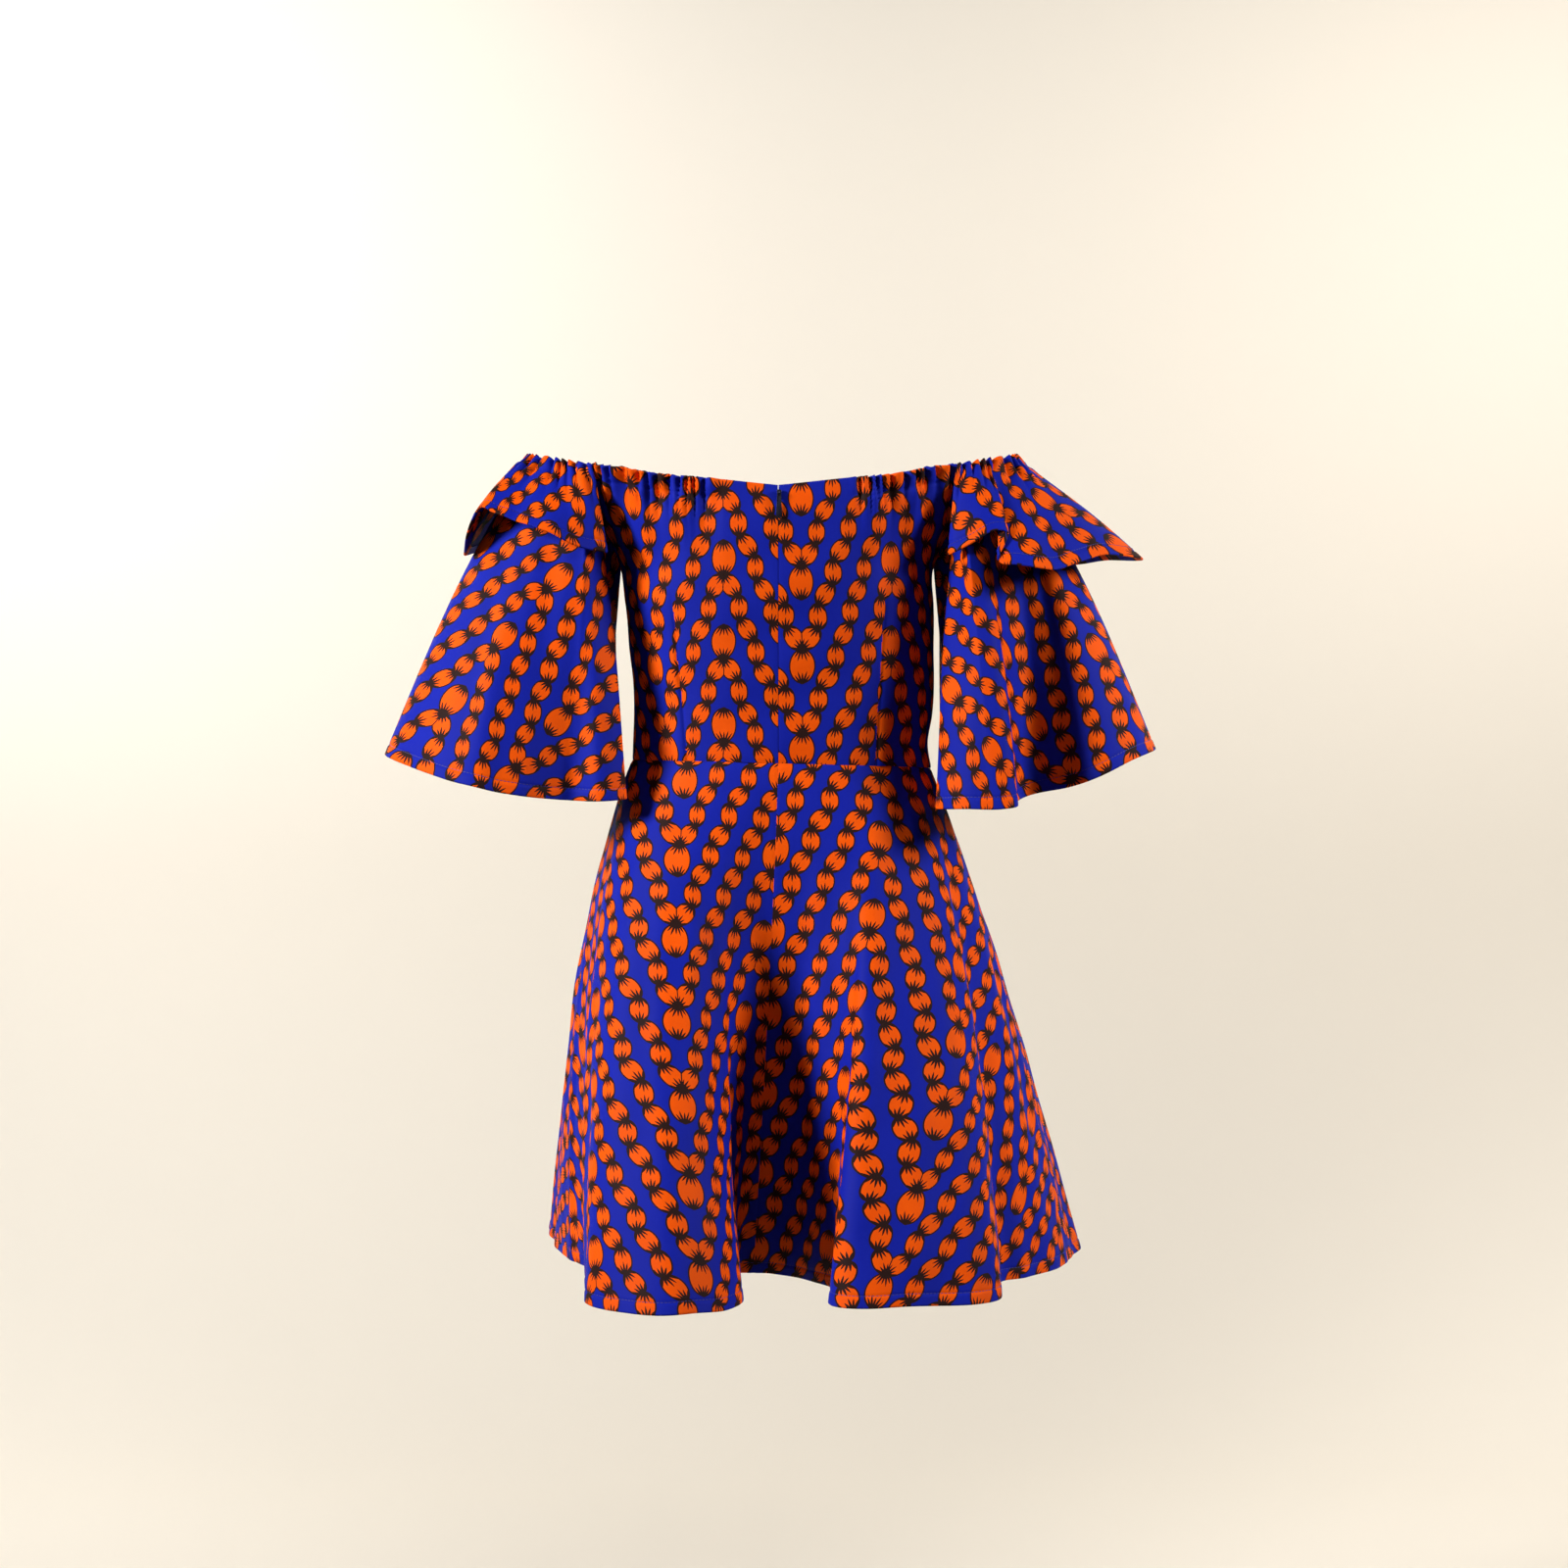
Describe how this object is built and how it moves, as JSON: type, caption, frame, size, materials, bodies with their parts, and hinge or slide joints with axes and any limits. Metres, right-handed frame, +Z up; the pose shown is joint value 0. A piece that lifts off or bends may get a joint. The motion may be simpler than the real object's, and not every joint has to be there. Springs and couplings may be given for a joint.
{
  "type": "wax print dress",
  "caption": "Off-shoulder knee-length dress in printed cotton, with gathered neckline, flounced flared sleeves, flared skirt and a concealed back zip.",
  "frame": {"origin": "middle of the neckline loop at the height of its casing, where the dress is held by the wearer's upper arms", "axes": "+Z up, -Y the way the wearer faces, +X to the wearer's left; the zip is on the +Y side"},
  "size_m": [0.695, 0.5264, 0.7263],
  "materials": {
    "wax_cotton": "matt plain-woven printed cotton",
    "zip_tape": "knitted tape",
    "zip_metal": "satin enamel"
  },
  "bodies": {
    "dress": {"bodice_back_left": "wax_cotton", "bodice_back_right": "wax_cotton", "bodice_front": "wax_cotton", "sleeve_left": "wax_cotton", "sleeve_right": "wax_cotton", "flounce_left": "wax_cotton", "flounce_right": "wax_cotton", "skirt_back_left": "wax_cotton", "skirt_back_right": "wax_cotton", "skirt_front": "wax_cotton", "zip_chain": "zip_tape", "zip_slider": "zip_metal"},
    "pull": {"zip_pull_tab": "zip_metal"}
  },
  "joints": [
    {"name": "pull_swing", "type": "hinge", "parent": "dress", "child": "pull", "pos_m": [-0.0008, 0.11463, -0.03123], "axis": [1, 0, 0], "range_deg": [0, 150]}
  ]
}
